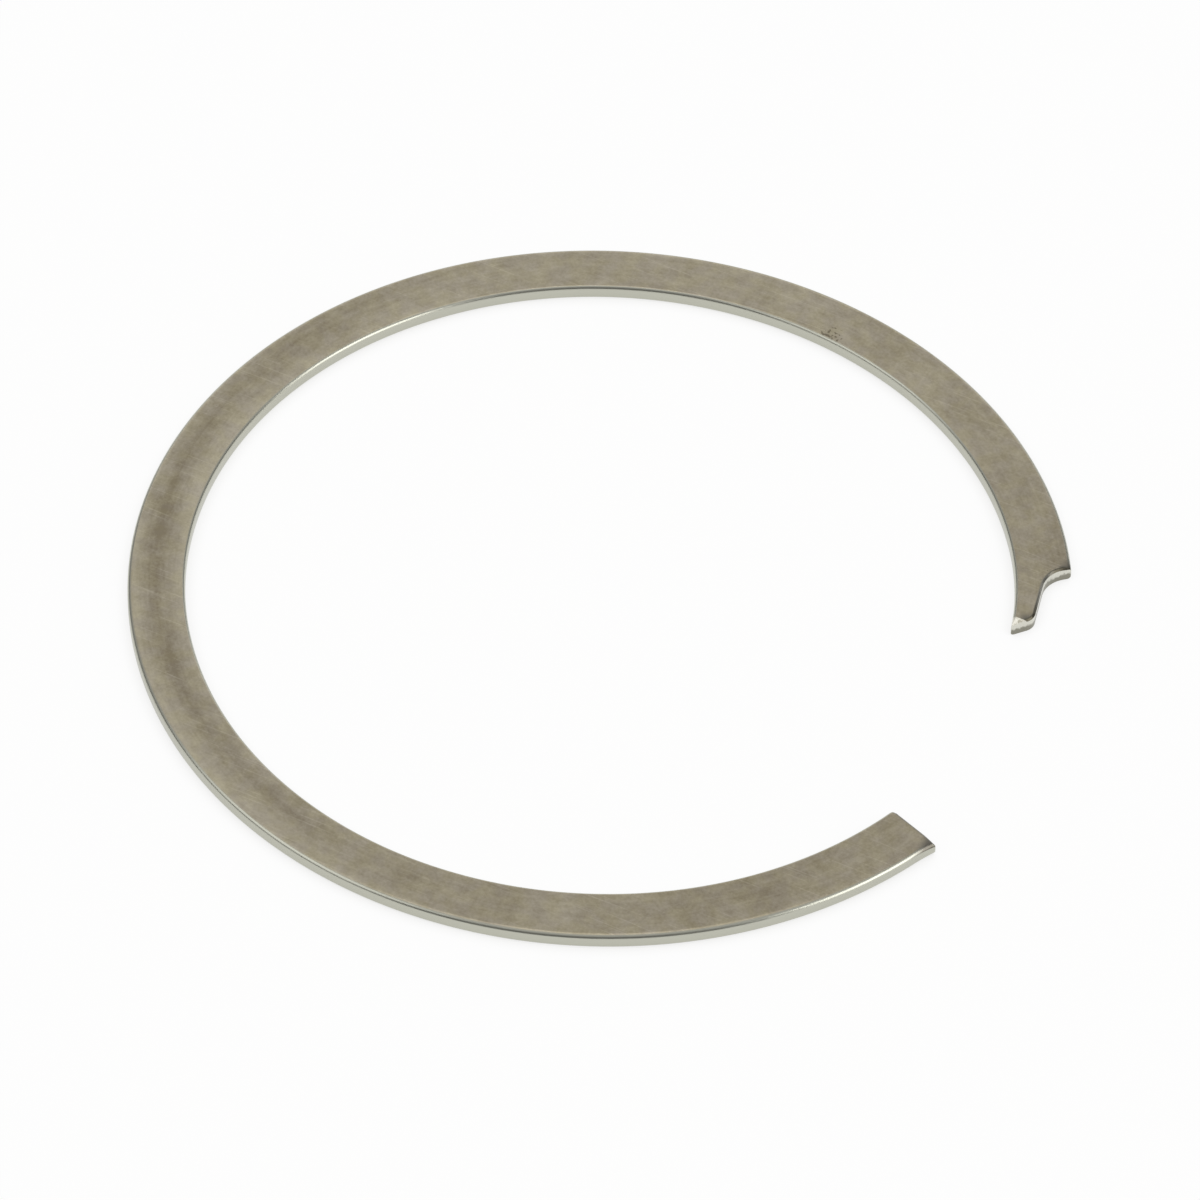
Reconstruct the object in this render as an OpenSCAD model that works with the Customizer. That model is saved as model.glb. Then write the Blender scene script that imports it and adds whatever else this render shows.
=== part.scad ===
// Open retaining ring, bent on edge from flat spring wire, for a groove in a bore.
// It lies flat on z = 0 with its axis on Z, and its gap is centred on +X.
// One end is cut off square. The other is notched from outside, which leaves a
// narrow tongue along the inner edge, where a blade or hook lifts the ring out.

/* [Wire] */
// Free outer diameter of the ring
outer_d = 65; // [50:0.5:120]
// Width of the wire, measured along the radius
wall = 3.95; // [3.5:0.05:6]
// Thickness of the wire
thickness = 1.1; // [0.8:0.05:2]
// Radius of the wire's four rolled edges
edge_r = 0.25; // [0.1:0.05:0.35]

/* [Gap] */
// Angle between the two ends, seen from the ring's axis
gap_angle = 39.2; // [30:0.2:70]
// Distance that the notched end's tip is bent in from the ring's circle
set_in = 0.25; // [0.05:0.05:0.6]
// Angle of the tighter bend that brings it there
set_angle = 20; // [15:1:30]

/* [Notched end] */
// Width of the tongue, where its side and its slanted nose would meet
tongue_w = 1.45; // [1.1:0.05:2]
// Slope of the tongue's side, against the tangent at its tip
side_slope = 2.5; // [0:0.5:8]
// Slope of the nose, against the same tangent
nose_slope = 57; // [45:1:75]
// Radius between the nose and the tongue's side
nose_r = 1; // [0.6:0.1:1.2]
// Distance from the tip to the corner between tongue and shoulder
notch_l = 5.4; // [4.6:0.1:8]
// Slope of the shoulder, against the tangent at the tip
shoulder_slope = 65; // [60:1:75]
// Radius of the notch, between tongue and shoulder
notch_r = 2.1; // [1:0.05:2.4]
// Length of the bevel on top of the tip
bevel_l = 0.85; // [0.5:0.05:1.2]
// Depth of the bevel at the tip
bevel_drop = 0.2; // [0.1:0.05:0.4]
// Turn of the bevel's upper edge, away from square across the tongue
bevel_turn = 13; // [0:1:25]

/* [Plain end] */
// Distance by which the inner corner is broken, seen from above
corner_break = 0.2; // [0.1:0.05:0.6]
// Length along the outer edge over which the corner is drawn down
draw_l = 2; // [1.5:0.1:4]
// Width of the drawn corner on the cut face
draw_w = 0.5; // [0.3:0.05:0.8]
// Depth of the drawn corner on the cut face
draw_drop = 0.35; // [0.3:0.05:0.7]

/* [Sheared rim] */
// Width of the slope that shearing leaves along a cut's upper edge
rim_w = 0.25; // [0.15:0.05:0.35]
// Depth of that slope at the cut
rim_drop = 0.15; // [0.1:0.05:0.25]

/* [Hidden] */

$fn = 48;
bend_fn = 240; // facets of a whole turn of the bent wire
edge_steps = 3; // facets of one rounded edge of the wire
over = 0.5; // how far a cutter runs past the face that it cuts
reach = 3 * wall; // size of a cutter that takes away a whole side
lap = 0.001; // overlap of the two bends, in degrees

outer_r = outer_d / 2;
inner_r = outer_r - wall;
half_gap = gap_angle / 2;

// The tighter bend turns about a centre that lies on the line from the ring's axis
// to the place where it starts, so that both bends run into one another smoothly
set_shift = set_in / (1 - cos(set_angle));
set_r = inner_r - set_shift;
set_start = half_gap + atan2(set_r * sin(set_angle), set_shift + set_r * cos(set_angle));

// Points are given in the frame of an end: x runs along the wire into the ring,
// y runs outwards, and the origin is the end's corner on the inner edge.
function along(p, slope, d) = p + d * [cos(slope), sin(slope)];
function beside(p, slope, d) = p + d * [-sin(slope), cos(slope)];

tip = [0, 0];
nose_corner = along(tip, nose_slope, tongue_w / sin(nose_slope));
side_run = (notch_l - nose_corner[0]) / cos(side_slope);
notch_corner = along(nose_corner, side_slope, side_run);

// Each rounded corner touches its two lines at the same distance from the corner
nose_turn = nose_slope - side_slope;
nose_back = nose_r * tan(nose_turn / 2);
nose_start = along(nose_corner, nose_slope, -nose_back);
nose_end = along(nose_corner, side_slope, nose_back);
nose_centre = beside(nose_end, side_slope, -nose_r);

notch_turn = shoulder_slope - side_slope;
notch_back = notch_r * tan(notch_turn / 2);
notch_start = along(notch_corner, side_slope, -notch_back);
notch_end = along(notch_corner, shoulder_slope, notch_back);
notch_centre = beside(notch_start, side_slope, notch_r);

// The wire's section, with its origin at the inner edge: a flat bar with four equal
// rounded edges, each one turned in a few short steps
module wire_section() {
    step = 90 / edge_steps;
    centres = [
        [wall - edge_r, thickness - edge_r],
        [edge_r, thickness - edge_r],
        [edge_r, edge_r],
        [wall - edge_r, edge_r]
    ];
    polygon([
        for (corner = [0:3], k = [0:edge_steps])
            let (turn = 90 * corner + step * k)
                centres[corner] + edge_r * [cos(turn), sin(turn)]
    ]);
}

// The wire bent about the origin, from +X round by the given angle
module bend(r, angle) {
    rotate_extrude(angle = angle, $fn = bend_fn)
        translate([r, 0])
            wire_section();
}

// Frame of the tighter bend, with the notched end's cut on +X
module at_set_centre() {
    rotate([0, 0, set_start])
        translate([set_shift, 0, 0])
            rotate([0, 0, -set_angle])
                children();
}

module bent_wire() {
    rotate([0, 0, set_start])
        bend(inner_r, 360 - half_gap - set_start);
    at_set_centre()
        bend(set_r, set_angle + lap);
}

module at_notched_end() {
    at_set_centre()
        translate([set_r, 0, 0])
            mirror([1, -1, 0])
                children();
}

module at_plain_end() {
    rotate([0, 0, -half_gap])
        translate([inner_r, 0, 0])
            rotate([0, 0, -90])
                children();
}

// Section of what a sloped rim takes away, x being the depth into the metal. Its
// slope runs on past the cut and past the upper face.
module rim_section() {
    polygon([
        [-over, thickness - rim_drop - over * rim_drop / rim_w],
        [2 * rim_w, thickness + rim_drop],
        [-over, thickness + rim_drop]
    ]);
}

// Rim along a straight cut from p, with the metal on its right
module straight_rim(p, slope, l) {
    translate(p)
        rotate([0, 0, slope])
            rotate([90, 0, 90])
                linear_extrude(l)
                    mirror([1, 0])
                        rim_section();
}

// What the notching tool takes away, seen from above
module notch_outline() {
    difference() {
        union() {
            polygon([
                along(tip, nose_slope, -over),
                nose_start,
                nose_end,
                notch_start,
                notch_end,
                along(notch_end, shoulder_slope, reach),
                along(notch_end, shoulder_slope, reach) - [2 * reach, 0],
                [-reach, -over]
            ]);
            translate(notch_centre)
                circle(r = notch_r);
        }
        translate(nose_centre)
            circle(r = nose_r);
    }
}

module nose_rim() {
    straight_rim(along(tip, nose_slope, -over), nose_slope, over + norm(nose_start - tip));
}

module nose_corner_rim() {
    translate(nose_centre)
        rotate([0, 0, 90 + side_slope])
            rotate_extrude(angle = nose_turn)
                translate([nose_r, 0])
                    mirror([1, 0])
                        rim_section();
}

module side_rim() {
    straight_rim(nose_end, side_slope, norm(notch_start - nose_end));
}

module notch_rim() {
    translate(notch_centre)
        rotate([0, 0, side_slope - 90])
            rotate_extrude(angle = notch_turn)
                translate([notch_r, 0])
                    rim_section();
}

module shoulder_rim() {
    straight_rim(notch_end, shoulder_slope, reach);
}

module tip_bevel() {
    translate([bevel_l, 0, thickness])
        rotate([0, -atan(bevel_drop / bevel_l), bevel_turn])
            translate([-reach, -reach, 0])
                cube([reach, 2 * reach, reach]);
}

module notch() {
    translate([0, 0, -over])
        linear_extrude(thickness + 2 * over)
            notch_outline();
}

// Breaks the inner corner of the cut face at 45 degrees
module corner_cut() {
    translate([0, 0, -over])
        rotate([0, 0, 45])
            translate([-corner_break / sqrt(2), -corner_break / sqrt(2), 0])
                cube([sqrt(2) * corner_break, sqrt(2) * corner_break, thickness + 2 * over]);
}

// The plane that draws the outer corner down passes through three points, one on
// each edge that meets there. Its normal has their reciprocal distances.
module drawn_corner() {
    normal = [-1 / draw_l, 1 / draw_w, 1 / draw_drop];
    translate([0, wall - draw_w, thickness])
        rotate([0, acos(normal[2] / norm(normal)), atan2(normal[1], normal[0])])
            translate([-reach / 2, -reach / 2, 0])
                cube(reach);
}

module plain_rim() {
    straight_rim([0, -over], 90, wall + 2 * over);
}

module square_ended_wire() {
    difference() {
        bent_wire();
        at_plain_end() plain_rim();
    }
}

module wire_with_plain_end() {
    difference() {
        square_ended_wire();
        at_plain_end() drawn_corner();
        at_plain_end() corner_cut();
    }
}

module notched_wire() {
    difference() {
        wire_with_plain_end();
        at_notched_end() notch();
    }
}

// The rims are cut one after another, because neighbours share their end faces
module rimmed_wire() {
    difference() {
        difference() {
            difference() {
                difference() {
                    difference() {
                        notched_wire();
                        at_notched_end() nose_rim();
                    }
                    at_notched_end() nose_corner_rim();
                }
                at_notched_end() side_rim();
            }
            at_notched_end() notch_rim();
        }
        at_notched_end() shoulder_rim();
    }
}

module retaining_ring() {
    color("#958c7e")
        difference() {
            rimmed_wire();
            at_notched_end() tip_bevel();
        }
}

retaining_ring();
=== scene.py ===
import math

import bmesh
import bpy
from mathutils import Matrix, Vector


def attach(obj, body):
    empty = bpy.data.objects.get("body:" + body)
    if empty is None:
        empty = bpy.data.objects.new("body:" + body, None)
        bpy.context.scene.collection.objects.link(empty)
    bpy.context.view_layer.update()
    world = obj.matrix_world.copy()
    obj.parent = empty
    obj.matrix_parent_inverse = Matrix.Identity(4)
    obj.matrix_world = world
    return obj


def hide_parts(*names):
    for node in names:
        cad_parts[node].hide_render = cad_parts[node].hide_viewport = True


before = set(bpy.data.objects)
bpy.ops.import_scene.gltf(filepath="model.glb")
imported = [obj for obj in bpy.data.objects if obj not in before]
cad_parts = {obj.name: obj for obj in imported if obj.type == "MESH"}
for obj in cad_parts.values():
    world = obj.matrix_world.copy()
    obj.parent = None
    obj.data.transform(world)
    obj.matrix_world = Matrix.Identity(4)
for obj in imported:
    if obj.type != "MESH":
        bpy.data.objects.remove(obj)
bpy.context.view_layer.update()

mm = 0.001


def linear(hexCode):
    # sRGB hex to the linear colour that shaders take
    parts = [int(hexCode[i:i + 2], 16) / 255 for i in (1, 3, 5)]
    return tuple(c / 12.92 if c <= 0.04045 else ((c + 0.055) / 1.055) ** 2.4 for c in parts) + (1.0,)


def addNode(tree, kind, settings=None, inputs=None):
    # A value that is a socket is linked, any other one is set
    node = tree.nodes.new(kind)
    for name, value in (settings or {}).items():
        setattr(node, name, value)
    for key, value in (inputs or {}).items():
        if isinstance(value, bpy.types.NodeSocket):
            tree.links.new(value, node.inputs[key])
        else:
            node.inputs[key].default_value = value
    return node


steel = {
    # The range between the next two tones carries the oxide's clouds, and also the painted shade and sheen across the
    # face
    "darkTone": "#948A78",      # thin brown oxide left by tempering
    "lightTone": "#C6BEAD",     # where handling and stacking rubbed it thin
    "warmTint": "#FDFDF2",      # the oxide's colour wanders between these two casts
    "coolTint": "#FAFAF8",
    "edgeTone": "#BEBEB1",      # cleaner metal on the rolled edges
    "rimShadeTone": "#8C8A82",       # painted shade on the sloped rim along a cut, where the shear dragged the upper edge
    "cornerShadeTone": "#77736A",      # painted shade on the corners that the shear dragged down
    "deepShadeTone": "#575347",      # deeper painted shade on the rims beside those corners
    "burnishTone": "#D6D5CA",   # upper part of a sheared wall, rubbed bright by the blade
    "breakTone": "#8E8C80",     # lower part, where the metal broke off
    "bevelTone": "#EBE8DC",     # freshly ground bevel
    "bevelSpot": "#B3AF9F",     # and its stains
    "pitTone": "#5A5040",
    "roughness": 0.3,
    "patchSize": 5 * mm,      # clouds of uneven oxide
    "mottleSize": 0.9 * mm,     # smaller blotches in them
    "grainSize": 0.22 * mm,     # fine speckle of the rolled skin, coarser than real
    "lineWidth": 0.3 * mm,      # rolling lines, drawn coarser than the real ones so that they show
    "scratchWidth": 0.12 * mm,  # slanting scratches from handling
    "scratchLength": 5 * mm,
    "pitSize": 0.22 * mm,
    "pitPlace": (3.41, 28.6, 1.1),  # a cluster of rust pits at the inner edge, in mm
    "pitReach": 1.9 * mm,
    "grainHeight": 0.0015 * mm,
    "dentSize": 0.7 * mm,       # shallow dents, which show on the rolled edges only
    "dentHeight": 0.006 * mm,
    "shares": {"patches": 0.85, "mottle": 0.8, "lines": 0.5, "grain": 0.65},
    "rubAndSheen": 0.05,                # how much lighter the face gets away from its darkest line: rubbed oxide and painted sheen
    "rubAndSheenMore": 1.6,             # how much more than that on one side of the ring
    "rubAndSheenSide": 208,
    "sheenShift": 0.22,           # how far that darkest line of painted shade strays to either side, in wire widths
    "sheenShiftSide": 122,           # where it lies furthest out
    "endShade": 0.13,           # how much darker the face is beside the gap
    "endSide": -19,
}


def makeSpringSteel(sizes, wire):
    # Carbon spring steel, rolled flat and tempered: a satin grey-brown metal with clouds of
    # oxide, lighter towards its edges by rubbing and by a painted sheen, with painted shade on cut rims and dragged
    # corners, and cut ends that show cleaner metal
    material = bpy.data.materials.new("rolledSpringSteel")
    material.use_nodes = True
    tree = material.node_tree
    tree.nodes.clear()
    place = addNode(tree, "ShaderNodeTexCoord").outputs["Object"]
    flat = addNode(tree, "ShaderNodeVectorMath", {"operation": "MULTIPLY"}, {0: place, 1: (1, 1, 0)})
    radius = addNode(tree, "ShaderNodeVectorMath", {"operation": "LENGTH"}, {0: flat.outputs[0]})
    around = addNode(tree, "ShaderNodeVectorMath", {"operation": "NORMALIZE"}, {0: flat.outputs[0]})

    # Where a point lies across the wire, and how far that is from the darkest line of the painted shade and sheen
    middle = (wire["outerDiameter"] - wire["wireWidth"]) / 2
    across = addNode(tree, "ShaderNodeMapRange", {"clamp": False},
                     {"Value": radius.outputs["Value"], "From Min": middle,
                      "From Max": middle + wire["wireWidth"], "To Min": 0, "To Max": 1})
    side = addNode(tree, "ShaderNodeVectorMath", {"operation": "DOT_PRODUCT"},
                   {0: around.outputs[0], 1: unit(sizes["sheenShiftSide"]).to_3d() * sizes["sheenShift"]})
    fromDark = addNode(tree, "ShaderNodeMath", {"operation": "SUBTRACT"},
                       {0: across.outputs[0], 1: side.outputs["Value"]})
    farFromDark = addNode(tree, "ShaderNodeMath", {"operation": "ABSOLUTE"}, {0: fromDark.outputs[0]})
    overMean = addNode(tree, "ShaderNodeMath", {"operation": "SUBTRACT"}, {0: farFromDark.outputs[0], 1: 0.25})
    toSide = addNode(tree, "ShaderNodeVectorMath", {"operation": "DOT_PRODUCT"},
                     {0: around.outputs[0], 1: unit(sizes["rubAndSheenSide"]).to_3d()})
    onSide = addNode(tree, "ShaderNodeMath", {"operation": "MAXIMUM"}, {0: toSide.outputs["Value"], 1: 0})
    sideSquare = addNode(tree, "ShaderNodeMath", {"operation": "POWER"}, {0: onSide.outputs[0], 1: 2})
    rubAndSheen = addNode(tree, "ShaderNodeMath", {"operation": "MULTIPLY_ADD"},
                  {0: sideSquare.outputs[0], 1: sizes["rubAndSheenMore"], 2: sizes["rubAndSheen"]})

    # Rolling lines run round the ring, so they are noise over the radius
    line = addNode(tree, "ShaderNodeMath", {"operation": "DIVIDE"},
                   {0: radius.outputs["Value"], 1: sizes["lineWidth"]})
    split = addNode(tree, "ShaderNodeSeparateXYZ", {}, {0: around.outputs[0]})
    lineX = addNode(tree, "ShaderNodeMath", {"operation": "MULTIPLY"}, {0: split.outputs[0], 1: 9})
    lineY = addNode(tree, "ShaderNodeMath", {"operation": "MULTIPLY"}, {0: split.outputs[1], 1: 9})
    linePlace = addNode(tree, "ShaderNodeCombineXYZ", {},
                        {0: line.outputs[0], 1: lineX.outputs[0], 2: lineY.outputs[0]})
    noises = {
        "patches": (place, 1 / sizes["patchSize"], 3, 0.55),
        "mottle": (place, 1 / sizes["mottleSize"], 3, 0.6),
        "grain": (place, 1 / sizes["grainSize"], 2, 0.6),
        "lines": (linePlace.outputs[0], 1, 3, 0.6),
    }
    level = 0.5 - sum(sizes["shares"].values()) / 2
    # The tone starts from painted shade and sheen across the face, partly rubbed oxide, lighter away from its darkest
    # line
    tone = addNode(tree, "ShaderNodeMath", {"operation": "MULTIPLY_ADD"},
                   {0: overMean.outputs[0], 1: rubAndSheen.outputs[0], 2: level}).outputs[0]
    toGap = addNode(tree, "ShaderNodeVectorMath", {"operation": "DOT_PRODUCT"},
                    {0: around.outputs[0], 1: unit(sizes["endSide"]).to_3d()})
    byGap = addNode(tree, "ShaderNodeMath", {"operation": "MAXIMUM"}, {0: toGap.outputs["Value"], 1: 0})
    tone = addNode(tree, "ShaderNodeMath", {"operation": "MULTIPLY_ADD"},
                   {0: byGap.outputs[0], 1: -sizes["endShade"], 2: tone}).outputs[0]
    grain = None
    for name, (where, scale, detail, rough) in noises.items():
        noise = addNode(tree, "ShaderNodeTexNoise", {},
                        {"Vector": where, "Scale": scale, "Detail": detail, "Roughness": rough})
        tone = addNode(tree, "ShaderNodeMath", {"operation": "MULTIPLY_ADD"},
                       {0: noise.outputs["Fac"], 1: sizes["shares"][name], 2: tone}).outputs[0]
        if name == "grain":
            grain = noise.outputs["Fac"]

    # Slanting scratches are noise squeezed in one direction
    slant = addNode(tree, "ShaderNodeMapping", {},
                    {"Vector": place, "Rotation": (0, 0, math.radians(35)),
                     "Scale": (1 / sizes["scratchLength"], 1 / sizes["scratchWidth"], 1 / sizes["scratchLength"])})
    scratchNoise = addNode(tree, "ShaderNodeTexNoise", {},
                           {"Vector": slant.outputs[0], "Scale": 1, "Detail": 1, "Roughness": 0.5})
    scratch = addNode(tree, "ShaderNodeMapRange", {},
                      {"Value": scratchNoise.outputs["Fac"], "From Min": 0.64, "From Max": 0.72,
                       "To Min": 0, "To Max": 0.25})
    toneScratched = addNode(tree, "ShaderNodeMath", {"operation": "ADD", "use_clamp": True},
                            {0: tone, 1: scratch.outputs[0]})
    oxide = addNode(tree, "ShaderNodeMix", {"data_type": "RGBA"},
                    {0: toneScratched.outputs[0], 6: linear(sizes["darkTone"]), 7: linear(sizes["lightTone"])})
    castNoise = addNode(tree, "ShaderNodeTexNoise", {},
                        {"Vector": place, "Scale": 0.7 / sizes["mottleSize"], "Detail": 2, "Roughness": 0.5})
    castShare = addNode(tree, "ShaderNodeMapRange", {},
                        {"Value": castNoise.outputs["Fac"], "From Min": 0.38, "From Max": 0.62})
    cast = addNode(tree, "ShaderNodeMix", {"data_type": "RGBA"},
                   {0: castShare.outputs[0], 6: linear(sizes["warmTint"]), 7: linear(sizes["coolTint"])})
    tinted = addNode(tree, "ShaderNodeMix", {"data_type": "RGBA", "blend_type": "MULTIPLY"},
                     {0: 1.0, 6: oxide.outputs[2], 7: cast.outputs[2]})

    # Rust pits, a few of them everywhere and many in one cluster
    pitNoise = addNode(tree, "ShaderNodeTexNoise", {},
                       {"Vector": place, "Scale": 1 / sizes["pitSize"], "Detail": 1, "Roughness": 0.4})
    fromPits = addNode(tree, "ShaderNodeVectorMath", {"operation": "DISTANCE"},
                       {0: place, 1: [c * mm for c in sizes["pitPlace"]]})
    near = addNode(tree, "ShaderNodeMapRange", {},
                   {"Value": fromPits.outputs["Value"], "From Min": sizes["pitReach"], "From Max": 0,
                    "To Min": 0, "To Max": 0.35})
    pitLevel = addNode(tree, "ShaderNodeMath", {"operation": "ADD"},
                       {0: pitNoise.outputs["Fac"], 1: near.outputs[0]})
    pits = addNode(tree, "ShaderNodeMapRange", {},
                   {"Value": pitLevel.outputs[0], "From Min": 0.78, "From Max": 0.86, "To Min": 0, "To Max": 0.65})
    face = addNode(tree, "ShaderNodeMix", {"data_type": "RGBA"},
                   {0: pits.outputs[0], 6: tinted.outputs[2], 7: linear(sizes["pitTone"])})

    # A sheared wall is burnished above and torn below, with streaks down it
    height = addNode(tree, "ShaderNodeSeparateXYZ", {}, {0: place})
    down = addNode(tree, "ShaderNodeMapping", {},
                   {"Vector": place, "Scale": (1 / sizes["grainSize"], 1 / sizes["grainSize"], 0.3 / sizes["grainSize"])})
    tearNoise = addNode(tree, "ShaderNodeTexNoise", {},
                        {"Vector": down.outputs[0], "Scale": 0.6, "Detail": 3, "Roughness": 0.6})
    tearLevel = addNode(tree, "ShaderNodeMath", {"operation": "MULTIPLY_ADD"},
                        {0: tearNoise.outputs["Fac"], 1: 0.9 * mm, 2: height.outputs[2]})
    torn = addNode(tree, "ShaderNodeMapRange", {},
                   {"Value": tearLevel.outputs[0], "From Min": 1.05 * mm, "From Max": 0.85 * mm})
    sheared = addNode(tree, "ShaderNodeMix", {"data_type": "RGBA"},
                      {0: torn.outputs[0], 6: linear(sizes["burnishTone"]), 7: linear(sizes["breakTone"])})
    isCut = addNode(tree, "ShaderNodeAttribute", {"attribute_name": "cutFace"})
    wall = addNode(tree, "ShaderNodeMix", {"data_type": "RGBA"},
                   {0: isCut.outputs["Fac"], 6: linear(sizes["edgeTone"]), 7: sheared.outputs[2]})
    facing = addNode(tree, "ShaderNodeSeparateXYZ", {}, {0: addNode(tree, "ShaderNodeTexCoord").outputs["Normal"]})
    steep = addNode(tree, "ShaderNodeMath", {"operation": "ABSOLUTE"}, {0: facing.outputs[2]})
    isWall = addNode(tree, "ShaderNodeMapRange", {}, {"Value": steep.outputs[0], "From Min": 0.97, "From Max": 0.86})
    skin = addNode(tree, "ShaderNodeMix", {"data_type": "RGBA"},
                   {0: isWall.outputs[0], 6: face.outputs[2], 7: wall.outputs[2]})

    # Painted shade on rims and dragged corners, and the bevel, are on the upper side only
    isUp = addNode(tree, "ShaderNodeMapRange", {}, {"Value": facing.outputs[2], "From Min": 0.2, "From Max": 0.35})
    metal = skin.outputs[2]
    stained = addNode(tree, "ShaderNodeMapRange", {},
                      {"Value": tearNoise.outputs["Fac"], "From Min": 0.48, "From Max": 0.66})
    bevelMetal = addNode(tree, "ShaderNodeMix", {"data_type": "RGBA"},
                         {0: stained.outputs[0], 6: linear(sizes["bevelTone"]), 7: linear(sizes["bevelSpot"])})
    # Painted shade on the dragged corners, along the rims and deeper beside the corners; then the bevel's own metal
    marks = {
        "paintedCornerShade": linear(sizes["cornerShadeTone"]),
        "paintedRimShade": linear(sizes["rimShadeTone"]),
        "paintedDeepShade": linear(sizes["deepShadeTone"]),
        "tipBevel": bevelMetal.outputs[2],
    }
    for name, tone in marks.items():
        mark = addNode(tree, "ShaderNodeAttribute", {"attribute_name": name})
        shown = addNode(tree, "ShaderNodeMath", {"operation": "MULTIPLY"},
                        {0: mark.outputs["Fac"], 1: isUp.outputs[0]})
        metal = addNode(tree, "ShaderNodeMix", {"data_type": "RGBA"},
                        {0: shown.outputs[0], 6: metal, 7: tone}).outputs[2]
    dentNoise = addNode(tree, "ShaderNodeTexNoise", {},
                        {"Vector": place, "Scale": 1 / sizes["dentSize"], "Detail": 1, "Roughness": 0.5})
    dents = addNode(tree, "ShaderNodeBump", {},
                    {"Strength": isWall.outputs[0], "Height": dentNoise.outputs["Fac"],
                     "Distance": sizes["dentHeight"]})
    bump = addNode(tree, "ShaderNodeBump", {},
                   {"Height": grain, "Distance": sizes["grainHeight"], "Normal": dents.outputs[0]})
    shader = addNode(tree, "ShaderNodeBsdfPrincipled", {},
                     {"Base Color": metal, "Metallic": 1.0, "Roughness": sizes["roughness"],
                      "Normal": bump.outputs[0]})
    addNode(tree, "ShaderNodeOutputMaterial", {}, {"Surface": shader.outputs[0]})
    return material


ring = {
    "outerDiameter": 65 * mm,
    "wireWidth": 3.95 * mm,
    "thickness": 1.1 * mm,
    "edgeRadius": 0.25 * mm,     # rolled edges of the wire, below
    "innerEdge": 0.27 * mm,      # and above, where they are worn to a quarter of an oval
    "outerEdge": 0.38 * mm,
    "edgeDrop": 0.32 * mm,
    "gapAngle": 39.2,
    "setIn": 0.25 * mm,          # distance that the notched end's tip is bent in
    "setAngle": 20,              # angle of the tighter bend that brings it there
    "tongueWidth": 1.45 * mm,
    "sideSlope": 2.5,            # slopes are against the tangent at the tip
    "noseSlope": 57,
    "noseRadius": 1 * mm,
    "notchLength": 5.4 * mm,
    "shoulderSlope": 65,
    "notchRadius": 2.1 * mm,
    "bevelLength": 0.85 * mm,    # bright flat on the tongue's tip
    "bevelDrop": 0.2 * mm,
    "bevelTurn": 13,
    "cornerRadius": 0.3 * mm,    # inner corner of the plain end
    "drawnLength": 2.4 * mm,     # outer corner of the plain end, pulled down by the shear
    "drawnWidth": 1 * mm,
    "drawnDrop": 0.13 * mm,
    "bulge": 0.14 * mm,          # and pressed outwards
    "bulgeLength": 1.5 * mm,
    "rimWidth": 0.12 * mm,       # slope that shearing leaves along a cut
    "rimDrop": 0.15 * mm,
    "rimShadeReach": 0.12 * mm,       # how far the painted shade fades out beside that slope
    "shoulderRoll": 1.1 * mm,    # reach of the dragged corner at the shoulder's outer end, and of its painted shade
    "noseRoll": 0.9 * mm,        # the same at the nose
    "rollDrop": 0.04 * mm,       # how far those corners are dragged down
    "deepShadeReach": 2.4 * mm,       # how far from them the painted shade on the rims is deepened
    "pointsAcross": 45,
}


def unit(degrees):
    return Vector((math.cos(math.radians(degrees)), math.sin(math.radians(degrees))))


def arcPoints(centre, radius, start, end, step):
    count = max(2, math.ceil(abs(math.radians(end - start)) * radius / step))
    return [centre + radius * unit(start + (end - start) * i / count) for i in range(count + 1)]


def linePoints(start, end, step):
    count = max(1, math.ceil((end - start).length / step))
    return [start.lerp(end, i / count) for i in range(count + 1)]


def notchOutline(r, setRadius):
    # From the outer edge down the shoulder and out along the tongue to its tip. Here x runs
    # along the wire into the ring, y outwards, and the tip's inner corner is the origin.
    noseDir, sideDir, shoulderDir = unit(r["noseSlope"]), unit(r["sideSlope"]), unit(r["shoulderSlope"])
    noseCorner = noseDir * (r["tongueWidth"] / noseDir.y)
    notchCorner = noseCorner + sideDir * ((r["notchLength"] - noseCorner.x) / sideDir.x)
    noseBack = r["noseRadius"] * math.tan(math.radians(r["noseSlope"] - r["sideSlope"]) / 2)
    notchBack = r["notchRadius"] * math.tan(math.radians(r["shoulderSlope"] - r["sideSlope"]) / 2)
    noseEnd = noseCorner + sideDir * noseBack
    notchStart = notchCorner - sideDir * notchBack
    notchEnd = notchCorner + shoulderDir * notchBack
    noseCentre = noseEnd - unit(r["sideSlope"] + 90) * r["noseRadius"]
    notchCentre = notchStart + unit(r["sideSlope"] + 90) * r["notchRadius"]
    # The shoulder runs on until it meets the outer edge of the wire
    fromAxis = notchEnd + Vector((0, setRadius))
    outer = setRadius + r["wireWidth"]
    half = fromAxis.dot(shoulderDir)
    run = -half + math.sqrt(half * half + outer * outer - fromAxis.length_squared)
    shoulderTop = notchEnd + shoulderDir * run
    fine = 0.045 * mm
    points = linePoints(shoulderTop, notchEnd, fine)
    points += arcPoints(notchCentre, r["notchRadius"], r["shoulderSlope"] - 90, r["sideSlope"] - 90, fine)[1:]
    points += linePoints(notchStart, noseEnd, fine)[1:]
    points += arcPoints(noseCentre, r["noseRadius"], r["sideSlope"] + 90, r["noseSlope"] + 90, fine)[1:]
    points += linePoints(noseCorner - noseDir * noseBack, Vector((0, 0)), fine)[1:-1]
    points.append(noseDir * 0.03 * mm)
    return points, noseCorner - noseDir * noseBack


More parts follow.
